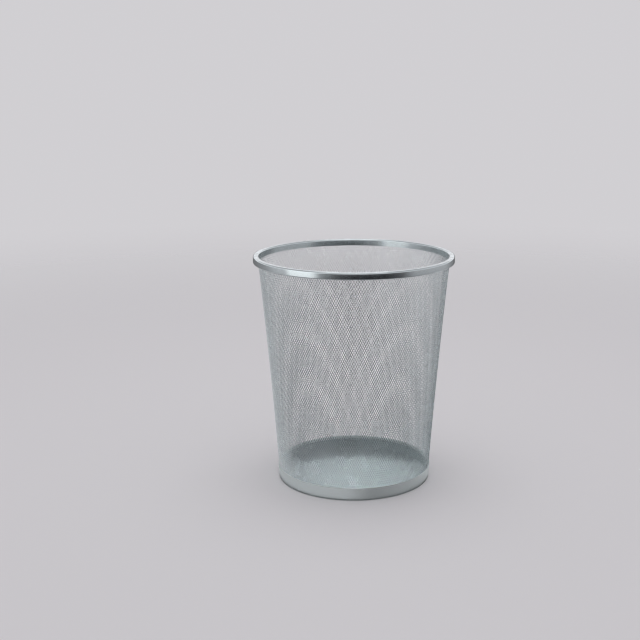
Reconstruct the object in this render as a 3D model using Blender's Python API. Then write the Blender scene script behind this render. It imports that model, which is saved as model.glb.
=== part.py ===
"""Round tapered wastebasket of expanded steel mesh, as four pieces of sheet steel on one vertical axis.

The mesh wall is held at its top edge by a roll-formed rim hoop, which is a channel open downwards, and at
its bottom edge between the base band outside it and the upturned edge of the floor pan inside it.
The base band turns under into a narrow foot ring, which the basket stands on and the floor pan rests on.

Lengths are in metres. The origin is the centre of the face that the basket stands on, and +Z is up.
"""

import math

import bmesh
import bpy
from mathutils import Vector

# Overall size
HEIGHT = 0.345
RIM_RADIUS = 0.150

# Rim hoop: a channel of this outer section, whose inner lip and lower flange leave a slot for the mesh
RIM_DEPTH = 0.0102
RIM_WIDTH = 0.0088
RIM_GAUGE = 0.0005
RIM_TOP_BEND = 0.0022
RIM_BOTTOM_BEND = 0.0020

# Mesh wall: outer radius at the floor and where it enters the rim, and how far it draws in between them
WALL_BOTTOM_RADIUS = 0.1146
WALL_TOP_RADIUS = 0.1425
WALL_WAIST = 0.0015
WALL_GAUGE = 0.0005
WALL_LOWER_EDGE = 0.0020
WALL_IN_RIM = 0.0062
WALL_LAP_RISE = 0.0004  # how much farther out the wall's lap seam stands
WALL_STEPS = 6

# Base band and its foot ring
BAND_TOP_RADIUS = 0.1169
BAND_BOTTOM_RADIUS = 0.1156
BAND_HEIGHT = 0.0200
BAND_BEND = 0.0016
FOOT_INNER_RADIUS = 0.1095

# Floor pan, whose upturned edge lies inside the mesh
PAN_EDGE_RADIUS = 0.1148
PAN_CORNER_RADIUS = 0.1139
PAN_EDGE_HEIGHT = 0.0160
PAN_BEND = 0.0014

SHEET_GAUGE = 0.0006  # base band and floor pan
GAP = 0.0003  # between pieces that are pressed together

SEGMENTS = 72
BEND_STEPS = 2
MERGE_DISTANCE = 1e-6
SHARP_ANGLE = math.radians(40)


def clear_scene():
    for obj in list(bpy.data.objects):
        bpy.data.objects.remove(obj, do_unlink=True)


def steel(name, colour, roughness):
    """Steel sheet with a silver lacquer."""
    material = bpy.data.materials.new(name)
    material.use_nodes = True
    shader = material.node_tree.nodes["Principled BSDF"]
    shader.inputs["Base Color"].default_value = (*colour, 1)
    shader.inputs["Metallic"].default_value = 0.9
    shader.inputs["Roughness"].default_value = roughness
    return material


def bent(corners):
    """The points of a path through (radius, height, bend) corners, where a bend above 0 rounds its corner."""
    points = []
    for index, (radius, height, bend) in enumerate(corners):
        corner = Vector((radius, height))
        if not bend:
            points.append(corner)
            continue
        back = (Vector(corners[index - 1][:2]) - corner).normalized()
        ahead = (Vector(corners[index + 1][:2]) - corner).normalized()
        half_angle = back.angle(ahead) / 2
        centre = corner + (back + ahead).normalized() * bend / math.sin(half_angle)
        reach = bend / math.tan(half_angle)
        start = (corner + back * reach - centre).normalized()
        end = (corner + ahead * reach - centre).normalized()
        for step in range(BEND_STEPS + 1):
            points.append(centre + start.slerp(end, step / BEND_STEPS) * bend)
    return points


def sheet_section(outside, gauge):
    """The closed section of a sheet that lies to the right of the path along its outside face."""
    inside = []
    for index, point in enumerate(outside):
        nearest_before = max(index, 1)
        nearest_after = min(index, len(outside) - 2)
        arriving = (outside[nearest_before] - outside[nearest_before - 1]).normalized()
        leaving = (outside[nearest_after + 1] - outside[nearest_after]).normalized()
        along = (arriving + leaving).normalized()
        to_the_right = Vector((along.y, -along.x))
        inside.append(point + to_the_right * gauge / along.dot(arriving))
    return outside + inside[::-1]


def turned(name, section, material):
    """An object made by turning a section of (radius, height) points about the Z axis."""
    shape = bmesh.new()
    points = [shape.verts.new((radius, 0, height)) for radius, height in section]
    edges = []
    for start, end in zip(points, points[1:] + points[:1]):
        on_the_axis = start.co.x == 0 and end.co.x == 0
        if not on_the_axis:
            edges.append(shape.edges.new((start, end)))
    bmesh.ops.spin(
        shape,
        geom=points + edges,
        cent=(0, 0, 0),
        axis=(0, 0, 1),
        angle=math.tau,
        steps=SEGMENTS,
        use_merge=True,
    )
    bmesh.ops.remove_doubles(shape, verts=shape.verts, dist=MERGE_DISTANCE)
    bmesh.ops.recalc_face_normals(shape, faces=shape.faces)
    mesh = bpy.data.meshes.new(name)
    shape.to_mesh(mesh)
    shape.free()
    mesh.materials.append(material)
    mesh.shade_smooth()
    mesh.set_sharp_from_angle(angle=SHARP_ANGLE)
    obj = bpy.data.objects.new(name, mesh)
    bpy.context.collection.objects.link(obj)
    return obj


def wall_radius(height):
    """Outer radius of the mesh wall, a cone drawn in by a parabola that is deepest at mid-height."""
    up = height / (HEIGHT - RIM_DEPTH)
    cone = WALL_BOTTOM_RADIUS + (WALL_TOP_RADIUS - WALL_BOTTOM_RADIUS) * up
    return cone - WALL_WAIST * 4 * up * (1 - up)


def make_rim_hoop():
    top = HEIGHT
    bottom = HEIGHT - RIM_DEPTH
    inner = RIM_RADIUS - RIM_WIDTH
    slot_side = wall_radius(bottom) + WALL_LAP_RISE + GAP
    outside = [
        (inner, bottom, 0),
        (inner, top, RIM_TOP_BEND),
        (RIM_RADIUS, top, RIM_TOP_BEND),
        (RIM_RADIUS, bottom, RIM_BOTTOM_BEND),
        (slot_side, bottom, 0),
    ]
    material = steel("rim_silver", (0.50, 0.55, 0.58), 0.25)
    return turned("rim_hoop", sheet_section(bent(outside), RIM_GAUGE), material)


def make_mesh_wall():
    """The expanded sheet's perforations are too fine for a solid, so the wall is a plain thin shell."""
    upper_edge = HEIGHT - RIM_DEPTH + WALL_IN_RIM
    outside = []
    for step in range(WALL_STEPS + 1):
        height = upper_edge + (WALL_LOWER_EDGE - upper_edge) * step / WALL_STEPS
        outside.append(Vector((wall_radius(height), height)))
    material = steel("mesh_silver", (0.36, 0.41, 0.43), 0.40)
    return turned("mesh_wall", sheet_section(outside, WALL_GAUGE), material)


def make_base_band():
    outside = [
        (BAND_TOP_RADIUS, BAND_HEIGHT, 0),
        (BAND_BOTTOM_RADIUS, 0, BAND_BEND),
        (FOOT_INNER_RADIUS, 0, 0),
    ]
    material = steel("band_silver", (0.42, 0.48, 0.50), 0.30)
    return turned("base_band", sheet_section(bent(outside), SHEET_GAUGE), material)


def make_floor_pan():
    underside = SHEET_GAUGE + GAP
    outside = [
        (PAN_EDGE_RADIUS, PAN_EDGE_HEIGHT, 0),
        (PAN_CORNER_RADIUS, underside, PAN_BEND),
        (0, underside, 0),
    ]
    material = steel("pan_silver", (0.40, 0.46, 0.48), 0.32)
    return turned("floor_pan", sheet_section(bent(outside), SHEET_GAUGE), material)


clear_scene()
make_rim_hoop()
make_mesh_wall()
make_base_band()
make_floor_pan()
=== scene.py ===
"""The looks of a round wastebasket of expanded steel mesh, built from the floor pan up, in metres."""

import math

import bmesh
import bpy
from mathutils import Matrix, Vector


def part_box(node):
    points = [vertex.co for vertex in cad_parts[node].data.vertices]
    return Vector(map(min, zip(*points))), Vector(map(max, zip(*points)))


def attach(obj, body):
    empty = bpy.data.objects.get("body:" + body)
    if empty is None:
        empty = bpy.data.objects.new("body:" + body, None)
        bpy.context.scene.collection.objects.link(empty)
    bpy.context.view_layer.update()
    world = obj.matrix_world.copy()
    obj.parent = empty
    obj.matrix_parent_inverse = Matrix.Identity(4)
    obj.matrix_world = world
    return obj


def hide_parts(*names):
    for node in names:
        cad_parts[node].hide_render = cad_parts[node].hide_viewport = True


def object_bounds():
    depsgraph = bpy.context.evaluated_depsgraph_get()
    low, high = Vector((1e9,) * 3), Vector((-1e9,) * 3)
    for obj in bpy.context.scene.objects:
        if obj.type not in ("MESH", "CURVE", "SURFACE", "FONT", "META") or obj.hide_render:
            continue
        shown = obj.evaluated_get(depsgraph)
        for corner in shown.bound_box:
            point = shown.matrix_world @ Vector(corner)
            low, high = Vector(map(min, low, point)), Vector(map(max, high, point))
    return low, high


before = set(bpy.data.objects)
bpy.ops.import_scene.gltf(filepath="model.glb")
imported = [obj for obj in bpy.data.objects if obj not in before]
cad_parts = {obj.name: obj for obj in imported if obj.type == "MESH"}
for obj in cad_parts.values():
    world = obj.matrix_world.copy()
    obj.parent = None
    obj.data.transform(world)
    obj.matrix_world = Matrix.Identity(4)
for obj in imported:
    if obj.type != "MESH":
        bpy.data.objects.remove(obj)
cad_low, cad_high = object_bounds()


# --- Floor pan ---
# The floor is a disc pressed from 0.6 mm steel sheet, whose edge is turned up inside the mesh.
# It lies loose on the foot ring until it is spot-welded through the mesh to the band, and it is
# lacquered silver with the rest of the basket. Its silver here is darker than the rest, which is painted
# shade for the inside of the basket.


class Wire:
    """A node's output socket, in a shader tree or a geometry tree.

    The operators add Math nodes. The node method adds any other node from its type, its settings, which
    are set first, and the values or wires of its sockets, where a list joins several wires in one socket.
    """

    def __init__(self, tree, socket=None):
        self.tree = tree
        self.socket = socket

    def node(self, kind, settings=None, sockets=None, output=0):
        made = self.tree.nodes.new(kind)
        for name, value in (settings or {}).items():
            if name == "stops":
                ramp = made.color_ramp.elements
                while len(ramp) < len(value):
                    ramp.new(1)
                for stop, (position, grey) in zip(ramp, value):
                    stop.position = position
                    stop.color = (grey, grey, grey, 1)
            else:
                setattr(made, name, value)
        for name, value in (sockets or {}).items():
            for one in value if isinstance(value, list) else [value]:
                if isinstance(one, Wire):
                    self.tree.links.new(one.socket, made.inputs[name])
                else:
                    made.inputs[name].default_value = one
        return Wire(self.tree, made.outputs[output] if made.outputs else None)

    def output(self, name):
        return Wire(self.tree, self.socket.node.outputs[name])

    def axes(self):
        parts = self.node("ShaderNodeSeparateXYZ", {}, {0: self})
        return [parts.output(axis) for axis in "XYZ"]

    def vector(self, x=0.0, y=0.0, z=0.0):
        return self.node("ShaderNodeCombineXYZ", {}, {"X": x, "Y": y, "Z": z})

    def maths(self, operation, *others):
        return self.node("ShaderNodeMath", {"operation": operation}, dict(enumerate((self, *others))))

    def smooth_step(self, start, end):
        return self.node(
            "ShaderNodeMapRange",
            {"interpolation_type": "SMOOTHSTEP"},
            {"Value": self, "From Min": start, "From Max": end, "To Min": 0.0, "To Max": 1.0},
        )

    def __add__(self, other):
        return self.maths("ADD", other)

    __radd__ = __add__

    def __sub__(self, other):
        return self.maths("SUBTRACT", other)

    def __rsub__(self, other):
        return self.node("ShaderNodeMath", {"operation": "SUBTRACT"}, {0: other, 1: self})

    def __mul__(self, other):
        return self.maths("MULTIPLY", other)

    __rmul__ = __mul__

    def __truediv__(self, other):
        return self.maths("DIVIDE", other)


def blank_material(name):
    """A material with an empty tree, and a wire to start its nodes from."""
    material = bpy.data.materials.new(name)
    material.use_nodes = True
    material.node_tree.nodes.clear()
    return material, Wire(material.node_tree)


DUST_COLOUR = (0.42, 0.41, 0.39)
DUST_COVER = 0.16
SCUFFED_TO = 0.005
SCUFFED_ALL_OVER_TO = 0.0005


def silver_lacquer(name, colour, shade, roughness, metal, peel, drawn=0.0, grime=0.0):
    """Silver metallic lacquer on steel: aluminium flake, orange peel, handling marks and settled dust.

    shade is the colour where the flake lies thinner, metal how flat the flakes lie, peel the depth of the
    orange peel, drawn how strongly the lines left by rolling show through, which run round the basket, and
    grime how scuffed the foot is. The scale of each texture is how many of its features fill a metre.
    """
    material, start = blank_material(name)
    place = start.node("ShaderNodeTexCoord", output="Object")
    x, y, z = place.axes()

    def noise(scale, detail=2.0, vector=place):
        return start.node("ShaderNodeTexNoise", {}, {"Vector": vector, "Scale": scale, "Detail": detail})

    def mixed(share, colour_a, colour_b):
        return start.node("ShaderNodeMix", {"data_type": "RGBA"}, {0: share, 6: colour_a, 7: colour_b}, 2)

    def ramp(value, low, high):
        return start.node("ShaderNodeValToRGB", {"stops": [(low, 0.0), (high, 1.0)]}, {"Fac": value})

    clouds = noise(14.0)
    rubbed = ramp(noise(55.0, 5.0), 0.50, 0.72)
    flake = start.node("ShaderNodeTexVoronoi", {}, {"Vector": place, "Scale": 2600.0}, "Color").axes()[0]
    across = (x * x + y * y).maths("SQRT") + z
    lines = noise(1.0, 3.0, start.vector(across * 2400.0, x * 9.0, y * 9.0)) - 0.5
    facing_up = start.node("ShaderNodeNewGeometry", output="Normal").axes()[2]
    dust = facing_up.maths("MAXIMUM", 0.0) * ramp(noise(120.0, 6.0), 0.35, 0.75) * DUST_COVER
    at_the_foot = 1 - ramp(z, SCUFFED_ALL_OVER_TO, SCUFFED_TO)
    scuffs = ramp(noise(420.0, 5.0), 0.54, 0.66) * at_the_foot * grime

    thin = clouds * 0.5 + flake * 0.35 + lines * drawn
    base = mixed(thin, (*colour, 1), (*shade, 1))
    base = mixed(dust + scuffs, base, (*DUST_COLOUR, 1))
    height = noise(900.0) + lines * drawn + flake * 0.08
    bump = start.node("ShaderNodeBump", {}, {"Height": height, "Strength": 0.35, "Distance": peel})
    rough = clouds * 0.05 + rubbed * 0.07 + lines * (drawn * 0.15) + (dust + scuffs) * 0.5 + roughness
    shader = start.node(
        "ShaderNodeBsdfPrincipled",
        {},
        {"Base Color": base, "Metallic": metal - dust - scuffs, "Roughness": rough, "Normal": bump},
    )
    start.node("ShaderNodeOutputMaterial", {}, {"Surface": shader})
    return material


def bent(corners, steps):
    """The path through (radius, height, bend) corners, where a bend above 0 rounds its corner."""
    points = []
    for index, (radius, height, bend) in enumerate(corners):
        corner = Vector((radius, height))
        if not bend:
            points.append(corner)
            continue
        back = (Vector(corners[index - 1][:2]) - corner).normalized()
        ahead = (Vector(corners[index + 1][:2]) - corner).normalized()
        half_angle = back.angle(ahead) / 2
        centre = corner + (back + ahead).normalized() * bend / math.sin(half_angle)
        reach = bend / math.tan(half_angle)
        start = (corner + back * reach - centre).normalized()
        end = (corner + ahead * reach - centre).normalized()
        points += [centre + start.slerp(end, step / steps) * bend for step in range(steps + 1)]
    return points


def beside(path, distance):
    """The path moved to its right by a distance."""
    moved = []
    for index, point in enumerate(path):
        before, after = max(index, 1), min(index, len(path) - 2)
        arriving = (path[before] - path[before - 1]).normalized()
        leaving = (path[after + 1] - path[after]).normalized()
        along = (arriving + leaving).normalized()
        moved.append(point + Vector((along.y, -along.x)) * distance / along.dot(arriving))
    return moved


CUT_EDGE_STEPS = 4


def sheet_section(path, gauge):
    """The closed section of a sheet that lies to the right of the path along its outside face.

    An end away from the axis is a cut edge, which the lacquer rounds.
    """
    section = list(path)
    inside = beside(path, gauge)
    for outer, inner, at in ((path[-1], inside[-1], path[-2]), (path[0], inside[0], path[1])):
        middle = (outer + inner) / 2
        away = (outer - at).normalized() * gauge / 2
        side = outer - middle if outer == path[-1] else inner - middle
        if outer.x > 0:
            turns = [math.pi * step / CUT_EDGE_STEPS for step in range(1, CUT_EDGE_STEPS)]
            section += [middle - away + side * math.cos(turn) + away * math.sin(turn) for turn in turns]
        if outer == path[-1]:
            section += inside[::-1]
    return section


TURNED_SIDES = 288
JOINT_HALF_WIDTH = 0.0009
SAME_PLACE = 0.000001
CREASE_ANGLE = 40


def turned(name, path, gauge, material, joint_depth=0.0):
    """A sheet turned about the Z axis. A joint depth leaves a dressed butt joint across it at the back."""
    at_the_back = math.pi / 2
    half_joint = JOINT_HALF_WIDTH / path[0].x
    angles = {(at_the_back + math.tau * side / TURNED_SIDES) % math.tau: 0.0 for side in range(TURNED_SIDES)}
    if joint_depth:
        angles |= {at_the_back: joint_depth, at_the_back - half_joint: 0.0, at_the_back + half_joint: 0.0}
    shape = bmesh.new()
    rings = []
    for angle, groove in sorted(angles.items()):
        section = sheet_section(beside(path, groove), gauge - 2 * groove)
        rings.append(
            [shape.verts.new((r * math.cos(angle), r * math.sin(angle), height)) for r, height in section]
        )
    for ring, next_ring in zip(rings, rings[1:] + rings[:1]):
        for index, corner in enumerate(ring):
            shape.faces.new((corner, next_ring[index], next_ring[index - 1], ring[index - 1]))
    bmesh.ops.remove_doubles(shape, verts=shape.verts, dist=SAME_PLACE)
    on_the_axis = [edge for edge in shape.edges if not edge.link_faces]
    bmesh.ops.delete(shape, geom=on_the_axis, context="EDGES")
    bmesh.ops.recalc_face_normals(shape, faces=shape.faces)
    mesh = bpy.data.meshes.new(name)
    shape.to_mesh(mesh)
    shape.free()
    mesh.materials.append(material)
    mesh.shade_smooth()
    mesh.set_sharp_from_angle(angle=math.radians(CREASE_ANGLE))
    piece = bpy.data.objects.new(name, mesh)
    bpy.context.collection.objects.link(piece)
    return piece


SHEET_GAUGE = 0.0006
PAN_BEND = 0.0016
PAN_TAPER = 0.0009

pan_low, pan_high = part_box("floor_pan")
pan_path = bent(
    [
        (pan_high.x, pan_high.z, 0),
        (pan_high.x - PAN_TAPER, pan_low.z, PAN_BEND),
        (0, pan_low.z, 0),
    ],
    steps=6,
)
# The pan's silver is darker than the rest of the basket's lacquer: painted shade inside the basket.
pan_silver = silver_lacquer(
    "pan_silver", (0.38, 0.44, 0.45), (0.32, 0.38, 0.39), roughness=0.55, metal=1.0, peel=0.00002
)
floor_pan = turned("floor_pan_sheet", pan_path, SHEET_GAUGE, pan_silver)
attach(floor_pan, "root")
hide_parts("floor_pan")


# --- Base band ---
# A steel strip rolled into a ring round the foot of the mesh. Its lower edge turns under into the flat
# foot ring that the basket stands on, and its ends meet in a dressed butt weld at the back.

BAND_BEND = 0.0016
BAND_TAPER = 0.0013
FOOT_WIDTH = 0.0061
BAND_JOINT_DEPTH = 0.00018

band_low, band_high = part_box("base_band")
band_foot = band_high.x - BAND_TAPER
band_path = bent(
    [
        (band_high.x, band_high.z, 0),
        (band_foot, band_low.z, BAND_BEND),
        (band_foot - FOOT_WIDTH, band_low.z, 0),
    ],
    steps=8,
)
# The band's silver is lighter than the rest of the basket's lacquer: painted light for the bright floor it
# reflects.
band_silver = silver_lacquer(
    "band_silver",
    (0.82, 0.89, 0.88),
    (0.72, 0.79, 0.78),
    roughness=0.34,
    metal=0.95,
    peel=0.00002,
    drawn=0.3,
    grime=0.3,
)
base_band = turned("base_band_strip", band_path, SHEET_GAUGE, band_silver, BAND_JOINT_DEPTH)
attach(base_band, "root")
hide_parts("base_band")


# --- Mesh wall ---
# One sheet of steel, slit in staggered rows, pulled open into upright diamonds and rolled into a cone drawn
# in a little at mid-height. Its columns narrow towards the base, and its ends lap at the back. It is made
# here in six panels that meet edge to edge, because of its size.

COLUMNS = 228
HALF_ROWS = 98
PANELS = 6
STRAND_WIDTH = 0.00045
STRAND_GAUGE = 0.00040
STRAND_TWIST = 0.00016
BOND_LENGTH = 0.0010
WALL_SHELL = 0.0005
WALL_FOOT_RADIUS = 0.1146
WALL_RIM_RADIUS = 0.1425
WALL_WAIST = 0.0015

# The sheet lifts over its own beginning between these columns, counted from the end of the turn.
LAP_COLUMNS = 3
LAP_LIFT_START = -2.0
LAP_LIFT_END = -0.6
LAP_RISE = 0.00042

HEXAGON_CORNERS = 6
SAME_CORNER = 0.00005

wall_low, wall_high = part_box("mesh_wall")
rim_low, rim_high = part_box("rim_hoop")


def new_tree(name, sizes):
    """A geometry tree with an input for each size and for a material, and a wire from its inputs."""
    tree = bpy.data.node_groups.new(name, "GeometryNodeTree")
    for title, size in sizes.items():
        kind = "NodeSocketInt" if isinstance(size, int) else "NodeSocketFloat"
        tree.interface.new_socket(name=title, in_out="INPUT", socket_type=kind)
    tree.interface.new_socket(name="Material", in_out="INPUT", socket_type="NodeSocketMaterial")
    tree.interface.new_socket(name="Geometry", in_out="OUTPUT", socket_type="NodeSocketGeometry")
    return tree, Wire(tree).node("NodeGroupInput")


def finish_tree(inputs, geometry):
    geometry = inputs.node("GeometryNodeRealizeInstances", {}, {"Geometry": geometry})
    geometry = inputs.node(
        "GeometryNodeSetMaterial", {}, {"Geometry": geometry, "Material": inputs.output("Material")}
    )
    inputs.node("NodeGroupOutput", {}, {"Geometry": geometry})


def grown(name, tree, material, sizes):
    """The plain mesh object that a geometry tree makes at these sizes, of this material."""
    seed = bpy.data.objects.new(name + "_seed", bpy.data.meshes.new(name + "_seed"))
    bpy.context.collection.objects.link(seed)
    modifier = seed.modifiers.new("Grow", "NODES")
    modifier.node_group = tree
    values = {**sizes, "Material": material}
    for item in tree.interface.items_tree:
        if item.in_out == "INPUT":
            modifier[item.identifier] = values[item.name]
    evaluated = seed.evaluated_get(bpy.context.evaluated_depsgraph_get())
    mesh = bpy.data.meshes.new_from_object(evaluated)
    mesh.name = name
    bpy.data.objects.remove(seed, do_unlink=True)
    for attribute in ("corner", "inner", "middle", "material_index"):
        if attribute in mesh.attributes:
            mesh.attributes.remove(mesh.attributes[attribute])
    mesh.materials.clear()
    mesh.materials.append(material)
    piece = bpy.data.objects.new(name, mesh)
    bpy.context.collection.objects.link(piece)
    return piece


def wall_radius(size, height):
    """Outer radius of the wall, a cone drawn in by a parabola that is deepest half-way up to the rim."""
    up = height / size("Rim Height")
    foot, rim = size("Foot Radius"), size("Rim Radius")
    return foot + (rim - foot) * up - size("Waist") * 4 * up * (1 - up)


def stored(geometry, name, kind, value):
    return geometry.node(
        "GeometryNodeStoreNamedAttribute",
        {"data_type": kind, "domain": "POINT"},
        {"Geometry": geometry, "Name": name, "Value": value},
    )


def named(wire, name, kind):
    return wire.node("GeometryNodeInputNamedAttribute", {"data_type": kind}, {"Name": name})


def expanded_sheet_tree(sizes):
    """Expanded sheet on the wall's cone, from columns and half rows of holes laid out flat.

    Flat, X counts columns, Y counts rows and Z is the distance out from the wall's inner face in metres.
    """
    tree, inputs = new_tree("Expanded sheet", sizes)
    size = inputs.output
    columns, columns_round = size("Columns"), size("Columns Round")
    row_pitch, strand = size("Row Pitch"), size("Strand Width")

    # One hole: a rim of six quads between a hexagon and a copy of it, which is shrunk further on.
    hexagon = inputs.node(
        "GeometryNodeMeshCircle", {"fill_type": "NGON"}, {"Vertices": HEXAGON_CORNERS, "Radius": 1.0}
    )
    doubled = inputs.node(
        "GeometryNodeExtrudeMesh", {"mode": "FACES"}, {"Mesh": hexagon, "Offset Scale": 0.0}
    )
    hole = doubled.output("Top")
    marked = stored(doubled, "inner", "FLOAT", hole)
    marked = stored(marked, "corner", "FLOAT_VECTOR", inputs.node("GeometryNodeInputPosition"))
    cell = inputs.node(
        "GeometryNodeDeleteGeometry",
        {"domain": "FACE", "mode": "ONLY_FACE"},
        {"Geometry": marked, "Selection": hole},
    )

    # The holes stand in staggered rows.
    index = inputs.node("GeometryNodeInputIndex")
    half_row = ((index + 0.5) / columns).maths("FLOOR")
    column = size("First Column") + index - half_row * columns + half_row.maths("MODULO", 2.0) / 2
    points = inputs.node(
        "GeometryNodePoints",
        {},
        {"Count": columns * size("Half Rows"), "Position": inputs.vector(column, half_row / 2)},
    )
    points = stored(points, "middle", "FLOAT_VECTOR", inputs.node("GeometryNodeInputPosition"))
    placed = inputs.node("GeometryNodeInstanceOnPoints", {}, {"Points": points, "Instance": cell})
    laid = inputs.node("GeometryNodeRealizeInstances", {}, {"Geometry": placed})

    # The hexagon's sides run up the middle of the bonds and its other edges along the middle of the
    # strands. The hole keeps a strand's width from the first and half of that from the others.
    centre = named(inputs, "middle", "FLOAT_VECTOR")
    along, across, _ = named(inputs, "corner", "FLOAT_VECTOR").axes()
    inner = named(inputs, "inner", "FLOAT")
    side = across * -1 / math.sin(math.tau / HEXAGON_CORNERS)
    pitch = wall_radius(size, size("Lowest") + centre.axes()[1] * row_pitch) * math.tau / columns_round
    tip = (row_pitch - size("Bond Length")) / 2
    slope = (tip * 2.0 - row_pitch / 2) / (pitch / 2)
    reach = pitch / 2 - inner * strand
    inset = (slope * slope + 1).maths("SQRT") * inner * strand / 2
    height = tip - slope * side.maths("ABSOLUTE") * reach - inset
    corner = inputs.vector(side * reach / pitch, along.maths("SIGN") * height / row_pitch)
    moved = inputs.node("ShaderNodeVectorMath", {"operation": "ADD"}, {0: centre, 1: corner})
    twist = inputs.vector(z=side * inner * size("Twist"))
    flat = inputs.node(
        "GeometryNodeSetPosition", {}, {"Geometry": laid, "Position": moved, "Offset": twist}
    )
    flat = inputs.node("GeometryNodeMergeByDistance", {}, {"Geometry": flat, "Distance": SAME_CORNER})

    # The sheet gets its thickness: an outer face, the walls of its holes and a reversed inner face.
    front = inputs.node(
        "GeometryNodeExtrudeMesh",
        {"mode": "FACES"},
        {"Mesh": flat, "Offset": (0, 0, 1), "Offset Scale": size("Gauge"), "Individual": False},
    )
    back = inputs.node("GeometryNodeFlipFaces", {}, {"Mesh": flat})
    solid = inputs.node("GeometryNodeJoinGeometry", {}, {"Geometry": [front, back]})
    solid = inputs.node("GeometryNodeMergeByDistance", {}, {"Geometry": solid, "Distance": SAME_CORNER})

    # It is rolled onto the cone, with the last columns lifted to lap over the first.
    u, v, out = inputs.node("GeometryNodeInputPosition").axes()
    angle = math.pi / 2 + u * math.tau / columns_round
    height = size("Lowest") + v * row_pitch
    lift = (u - columns_round).smooth_step(LAP_LIFT_START, LAP_LIFT_END) * size("Lap Rise")
    radius = wall_radius(size, height) - size("Shell") + out + lift
    rolled = inputs.vector(radius * angle.maths("COSINE"), radius * angle.maths("SINE"), height)
    wall = inputs.node("GeometryNodeSetPosition", {}, {"Geometry": solid, "Position": rolled})
    finish_tree(inputs, wall)
    return tree


mesh_silver = silver_lacquer(
    "mesh_silver", (0.70, 0.745, 0.755), (0.58, 0.625, 0.635), roughness=0.22, metal=0.95, peel=0.00001
)
row_pitch = (wall_high.z - wall_low.z) / (HALF_ROWS + 1) * 2
panel_columns = COLUMNS // PANELS
cone_sizes = {
    "Foot Radius": WALL_FOOT_RADIUS,
    "Rim Radius": WALL_RIM_RADIUS,
    "Rim Height": rim_low.z,
    "Waist": WALL_WAIST,
    "Shell": WALL_SHELL,
}
sheet_sizes = {
    **cone_sizes,
    "First Column": 0,
    "Columns": panel_columns,
    "Half Rows": HALF_ROWS,
    "Columns Round": COLUMNS,
    "Row Pitch": row_pitch,
    "Strand Width": STRAND_WIDTH,
    "Bond Length": BOND_LENGTH,
    "Gauge": STRAND_GAUGE,
    "Twist": STRAND_TWIST,
    "Lap Rise": LAP_RISE,
    "Lowest": wall_low.z + row_pitch / 2,
}
sheet_tree = expanded_sheet_tree(sheet_sizes)
wall_panels = []
for panel in range(PANELS):
    lapping = LAP_COLUMNS if panel == PANELS - 1 else 0
    share = {"First Column": panel * panel_columns, "Columns": panel_columns + lapping}
    wall_panel = grown(f"mesh_wall_panel_{panel + 1}", sheet_tree, mesh_silver, {**sheet_sizes, **share})
    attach(wall_panel, "root")
    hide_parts("mesh_wall")
    wall_panels.append(wall_panel)


# --- Seam welds ---
# A row of resistance welds up the back holds the wall's lapped ends together. Each is a spot where both
# layers of strands are squeezed into one lump of steel, lacquered with the rest.

WELDS = 13
WELD_RADIUS = 0.0010
WELD_DEPTH = 0.00052
WELD_END_GAP = 0.014
WELD_SEGMENTS = 16


def weld_row_tree(sizes):
    """Weld spots up a seam at an angle round the wall: flattened balls through both layers of the lap."""
    tree, inputs = new_tree("Weld row", sizes)
    size = inputs.output
    angle, width = size("Seam Angle"), size("Radius")
    height = size("Lowest") + inputs.node("GeometryNodeInputIndex") * size("Spacing")
    radius = wall_radius(size, height) - size("Shell") + size("Lap Middle")
    places = inputs.vector(radius * angle.maths("COSINE"), radius * angle.maths("SINE"), height)
    points = inputs.node("GeometryNodePoints", {}, {"Count": size("Count"), "Position": places})
    ball = inputs.node(
        "GeometryNodeMeshUVSphere",
        {},
        {"Segments": WELD_SEGMENTS, "Rings": WELD_SEGMENTS // 2, "Radius": 1.0},
    )
    turn = inputs.vector(z=angle)
    flattened = inputs.vector(size("Depth"), width, width)
    spots = inputs.node(
        "GeometryNodeInstanceOnPoints",
        {},
        {"Points": points, "Instance": ball, "Rotation": turn, "Scale": flattened},
    )
    finish_tree(inputs, spots)
    return tree


lowest_weld = band_high.z + WELD_END_GAP
highest_weld = rim_low.z - WELD_END_GAP
weld_sizes = {
    **cone_sizes,
    "Count": WELDS,
    "Lowest": lowest_weld,
    "Spacing": (highest_weld - lowest_weld) / (WELDS - 1),
    "Seam Angle": math.pi / 2 + math.tau * LAP_COLUMNS / 2 / COLUMNS,
    "Radius": WELD_RADIUS,
    "Depth": WELD_DEPTH,
    "Lap Middle": (STRAND_GAUGE + LAP_RISE) / 2,
}
seam_welds = grown("seam_welds", weld_row_tree(weld_sizes), mesh_silver, weld_sizes)
seam_welds.data.shade_smooth()
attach(seam_welds, "root")
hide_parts("mesh_wall")


# --- Rim hoop ---
# A steel channel, roll-formed from 0.5 mm strip with rounded corners and bent into a hoop. The mesh's top
# edge is crimped into the slot between its inner lip and its lower flange. Its ends are butt-welded and
# dressed at the back.

RIM_GAUGE = 0.0005
RIM_WIDTH = 0.0088
RIM_TOP_BEND = 0.0022
RIM_BOTTOM_BEND = 0.0011
RIM_JOINT_DEPTH = 0.00014
SLOT_CLEARANCE = 0.0007

rim_inner = rim_high.x - RIM_WIDTH
rim_path = bent(
    [
        (rim_inner, rim_low.z, 0),
        (rim_inner, rim_high.z, RIM_TOP_BEND),
        (rim_high.x, rim_high.z, RIM_TOP_BEND),
        (rim_high.x, rim_low.z, RIM_BOTTOM_BEND),
        (WALL_RIM_RADIUS + SLOT_CLEARANCE, rim_low.z, 0),
    ],
    steps=8,
)
rim_silver = silver_lacquer(
    "rim_silver",
    (0.62, 0.68, 0.69),
    (0.55, 0.61, 0.62),
    roughness=0.16,
    metal=1.0,
    peel=0.000003,
    drawn=0.1,
)
rim_hoop = turned("rim_hoop_channel", rim_path, RIM_GAUGE, rim_silver, RIM_JOINT_DEPTH)
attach(rim_hoop, "root")
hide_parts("rim_hoop")


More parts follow.
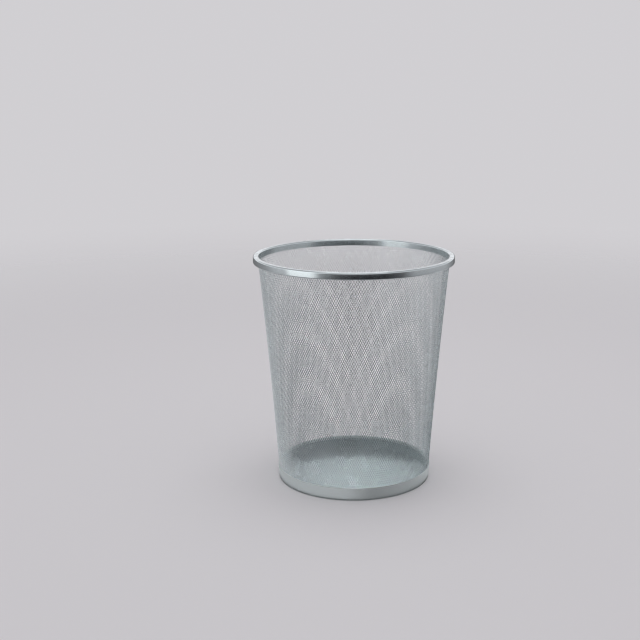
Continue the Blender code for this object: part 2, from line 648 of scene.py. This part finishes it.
# --- Studio ---
# A pale floor fades into a pale surround. A large light hangs overhead, a small one a little behind it, and
# a tall panel stands in front on the left. Black gauze, hung in a ring and laid on the floor, is there only
# for reflections, apart from a narrow ring at the foot that shades the floor as well.

FLOOR_COLOUR = (0.80, 0.79, 0.80)
FLOOR_REACH = 7.0
FLOOR_FADE = (0.8, 2.8)
FLOOR_SIDES = 64


def staged(name, corners, faces, material):
    mesh = bpy.data.meshes.new(name)
    mesh.from_pydata(corners, [], faces)
    mesh.materials.append(material)
    piece = bpy.data.objects.new(name, mesh)
    bpy.context.collection.objects.link(piece)
    return piece


def fading_surface(name, colour, solid):
    """A matt surface that is there where the wire that solid makes is 1, and clear where it is 0."""
    material, start = blank_material(name)
    matt = start.node("ShaderNodeBsdfDiffuse", {}, {"Color": (*colour, 1)})
    clear = start.node("ShaderNodeBsdfTransparent")
    both = start.node("ShaderNodeMixShader", {}, {0: solid(start), 1: clear, 2: matt})
    start.node("ShaderNodeOutputMaterial", {}, {"Surface": both})
    return material


def near_the_middle(start):
    x, y, _ = start.node("ShaderNodeTexCoord", output="Object").axes()
    return 1 - (x * x + y * y).maths("SQRT").smooth_step(*FLOOR_FADE)


floor_paint = fading_surface("floor_paint", FLOOR_COLOUR, near_the_middle)
floor_turns = [math.tau * side / FLOOR_SIDES for side in range(FLOOR_SIDES)]
floor_edge = [
    (FLOOR_REACH * math.cos(turn), FLOOR_REACH * math.sin(turn), cad_low.z) for turn in floor_turns
]
staged("studio_floor", floor_edge, [range(FLOOR_SIDES)], floor_paint)

# How thick each gauze is, from 0 to 1, at angles in degrees from the front round to the right.
HUNG_GAUZE_THICKNESS = [
    (-180, 0.93),
    (-152, 0.72),
    (-110, 0.40),
    (-90, 0.0),
    (-45, 0.0),
    (-30, 0.65),
    (-14, 0.90),
    (0, 0.99),
    (30, 0.99),
    (50, 0.85),
    (66, 0.24),
    (115, 0.10),
    (140, 0.62),
    (180, 0.93),
]
FOOT_GAUZE_THICKNESS = [(-180, 0.85), (180, 0.85)]
NEAR_GAUZE_THICKNESS = [
    (-180, 0.10),
    (-60, 0.10),
    (-6, 0.05),
    (6, 0.33),
    (16, 0.50),
    (40, 0.34),
    (56, 0.28),
    (71, 0.16),
    (85, 0.0),
    (110, 0.0),
    (180, 0.10),
]
FAR_GAUZE_THICKNESS = [
    (-180, 0.10),
    (-105, 0.10),
    (-70, 0.80),
    (0, 0.50),
    (70, 0.85),
    (110, 0.10),
    (180, 0.10),
]
GAUZE_BLACK = (0.012, 0.013, 0.015)
GAUZE_SEGMENTS = 192
HUNG_GAUZE_RADIUS = 0.9
HUNG_GAUZE_FRONT_HEIGHT = 0.31
HUNG_GAUZE_BACK_HEIGHT = 0.43
FLOOR_GAUZE_HEIGHT = 0.0009
FOOT_GAUZE_REACH = (0.1150, 0.1185)
NEAR_GAUZE_REACH = (0.1185, 0.19)
FAR_GAUZE_REACH = (0.19, 0.88)


def black_gauze(name, corners, thickness):
    """A band of gauze between pairs of corners, that only reflections see."""

    def thickness_there(start):
        x, y, _ = start.node("ShaderNodeTexCoord", output="Object").axes()
        turn = x.maths("ARCTAN2", 0 - y) / math.tau + 0.5
        stops = [(angle / 360 + 0.5, share) for angle, share in thickness]
        return start.node("ShaderNodeValToRGB", {"stops": stops}, {"Fac": turn})

    count = len(corners)
    faces = [(i, (i + 2) % count, (i + 3) % count, i + 1) for i in range(0, count, 2)]
    gauze = staged(name, corners, faces, fading_surface(name, GAUZE_BLACK, thickness_there))
    gauze.visible_camera = False
    gauze.visible_diffuse = False
    gauze.visible_shadow = False
    return gauze


hung, foot, near, far = [], [], [], []
for segment in range(GAUZE_SEGMENTS):
    gauze_turn = math.tau * segment / GAUZE_SEGMENTS
    outwards = Vector((math.cos(gauze_turn), math.sin(gauze_turn), 0))
    backwards = (1 + outwards.y) / 2
    top = HUNG_GAUZE_FRONT_HEIGHT + (HUNG_GAUZE_BACK_HEIGHT - HUNG_GAUZE_FRONT_HEIGHT) * backwards
    hung += [outwards * HUNG_GAUZE_RADIUS + Vector((0, 0, height)) for height in (FLOOR_GAUZE_HEIGHT, top)]
    for laid, reaches in ((foot, FOOT_GAUZE_REACH), (near, NEAR_GAUZE_REACH), (far, FAR_GAUZE_REACH)):
        laid += [outwards * reach + Vector((0, 0, FLOOR_GAUZE_HEIGHT)) for reach in reaches]
black_gauze("hung_gauze", hung, HUNG_GAUZE_THICKNESS)
foot_gauze = black_gauze("foot_gauze", foot, FOOT_GAUZE_THICKNESS)
foot_gauze.visible_shadow = True
black_gauze("near_floor_gauze", near, NEAR_GAUZE_THICKNESS)
black_gauze("far_floor_gauze", far, FAR_GAUZE_THICKNESS)


def area_light(name, place, aim, width, height, radiance):
    light = bpy.data.lights.new(name, "AREA")
    light.shape = "RECTANGLE"
    light.size, light.size_y = width, height
    light.energy = radiance * math.pi * width * height
    lamp = bpy.data.objects.new(name, light)
    bpy.context.collection.objects.link(lamp)
    lamp.location = place
    lamp.rotation_euler = (Vector(aim) - Vector(place)).to_track_quat("-Z", "Y").to_euler()
    lamp.visible_camera = False
    return lamp


KEY_SPREAD = 10.0

basket_middle = (0, 0, cad_high.z / 2)
basket_mouth = (0, 0, cad_high.z)
pan_middle = (-0.005, -0.03, 0)
area_light("overhead", (0, 0.2, 2.2), basket_middle, width=1.2, height=1.2, radiance=1.6)
key = area_light("key", (-0.04, 0.58, 2.45), pan_middle, width=0.16, height=0.16, radiance=2.5)
key.data.spread = math.radians(KEY_SPREAD)
left_panel = area_light(
    "left_panel", (-0.95, -0.62, 0.42), basket_mouth, width=0.75, height=0.84, radiance=0.68
)

# Flags keep the small light off everything but the inside of the basket, and the panel off the floor.
inside_pieces = [floor_pan, base_band, *wall_panels]
for lamp, receivers in ((key, inside_pieces), (left_panel, inside_pieces + [seam_welds, rim_hoop])):
    receiving = bpy.data.collections.new("lit_by_" + lamp.name)
    for piece in receivers:
        receiving.objects.link(piece)
    lamp.light_linking.receiver_collection = receiving

# The surround is brightest a little above the horizon, where only the basket and the floor see that.
SURROUND_COLOUR = (0.565, 0.555, 0.575)
SURROUND_STRENGTH = 2.25
SURROUND_SEEN = 0.50
SURROUND_GLOW = [(0.0, 0.50), (0.06, 0.50), (0.14, 0.95), (0.24, 0.95), (0.36, 0.50), (0.7, 0.42)]

world = bpy.data.worlds.new("studio")
bpy.context.scene.world = world
world.use_nodes = True
world.node_tree.nodes.clear()
sky = Wire(world.node_tree)
upward = sky.node("ShaderNodeTexCoord", output="Generated").axes()[2]
glow = sky.node("ShaderNodeValToRGB", {"stops": SURROUND_GLOW}, {"Fac": upward})
seen = sky.node("ShaderNodeLightPath", output="Is Camera Ray")
strength = (glow * (1 - seen) + SURROUND_SEEN * seen) * SURROUND_STRENGTH
surround = sky.node("ShaderNodeBackground", {}, {"Color": (*SURROUND_COLOUR, 1), "Strength": strength})
sky.node("ShaderNodeOutputWorld", {}, {"Surface": surround})
bpy.context.scene.view_settings.view_transform = "Standard"


# --- Camera ---
# It stands 1.6 m in front of the basket and 0.6 m up, and looks down on it through a long lens. Its filter
# is a little narrower than usual, which keeps the mesh crisp.

CAMERA_DISTANCE = 1.644
CAMERA_HEIGHT = 0.630
CAMERA_DOWNWARDS = 13.24
FILTER_WIDTH = 1.2

camera_data = bpy.data.cameras.new("camera")
camera_data.sensor_width = 36.0
camera_data.lens = 62.9
camera_data.shift_x = -0.053
camera_data.shift_y = 0.001
camera = bpy.data.objects.new("camera", camera_data)
bpy.context.collection.objects.link(camera)
camera.location = (0, -CAMERA_DISTANCE, CAMERA_HEIGHT)
camera.rotation_euler = (math.radians(90 - CAMERA_DOWNWARDS), 0, 0)
bpy.context.scene.camera = camera
bpy.context.scene.cycles.filter_width = FILTER_WIDTH
